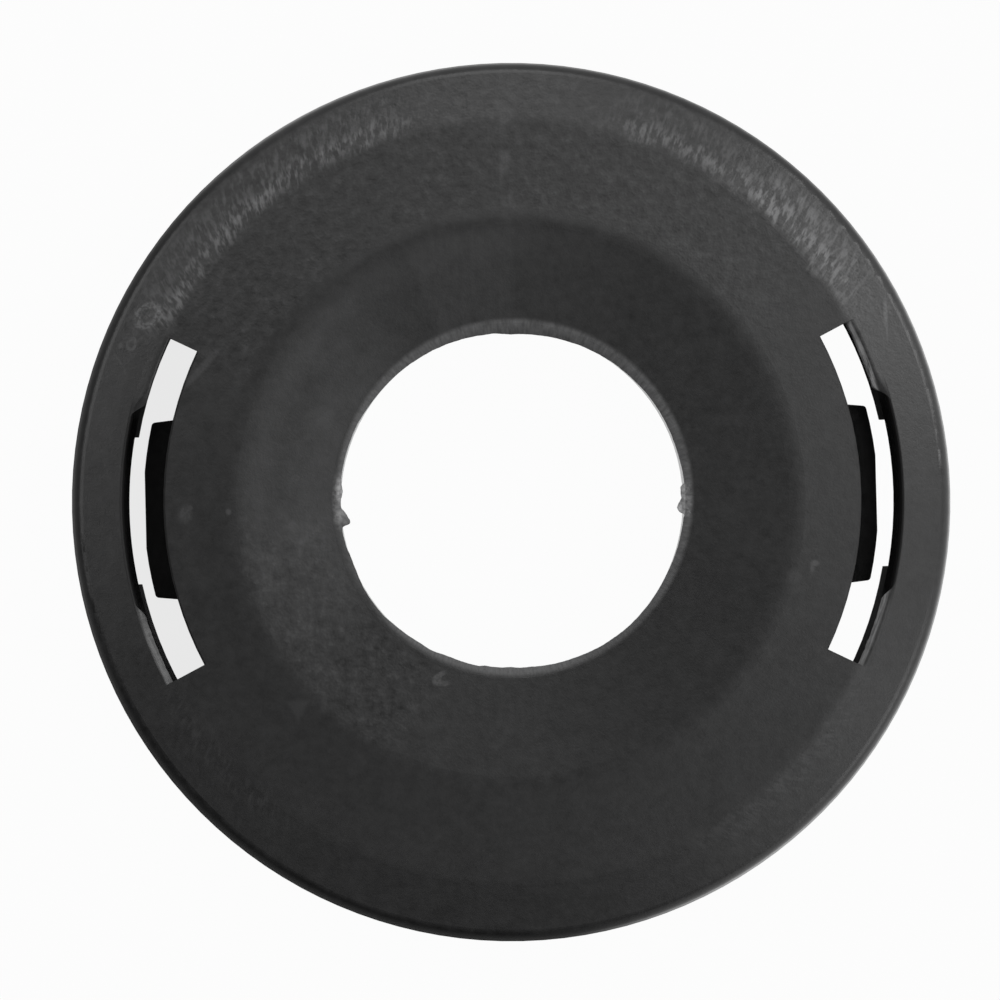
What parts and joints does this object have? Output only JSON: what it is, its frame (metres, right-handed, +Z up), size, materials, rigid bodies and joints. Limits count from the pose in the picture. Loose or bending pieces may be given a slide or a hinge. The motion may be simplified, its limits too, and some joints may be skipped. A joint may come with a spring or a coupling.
{
  "type": "trimmer head cover",
  "caption": "Round dished cover for a line trimmer head, with a knob bore, a locating ring, arc slots and snap latches.",
  "frame": {"origin": "on the bore's axis, at the bottom of the locating ring, which the cover stands on", "axes": "+Z up out of the visible face, along the bore; the slots and latches lie on +X and -X"},
  "size_m": [0.108, 0.108, 0.013],
  "materials": {
    "filled_nylon": "semi-matte moulded black, glass-fibre filled, faint fibre bloom near the rim"
  },
  "bodies": {
    "root": {"cover": "filled_nylon"}
  },
  "joints": []
}
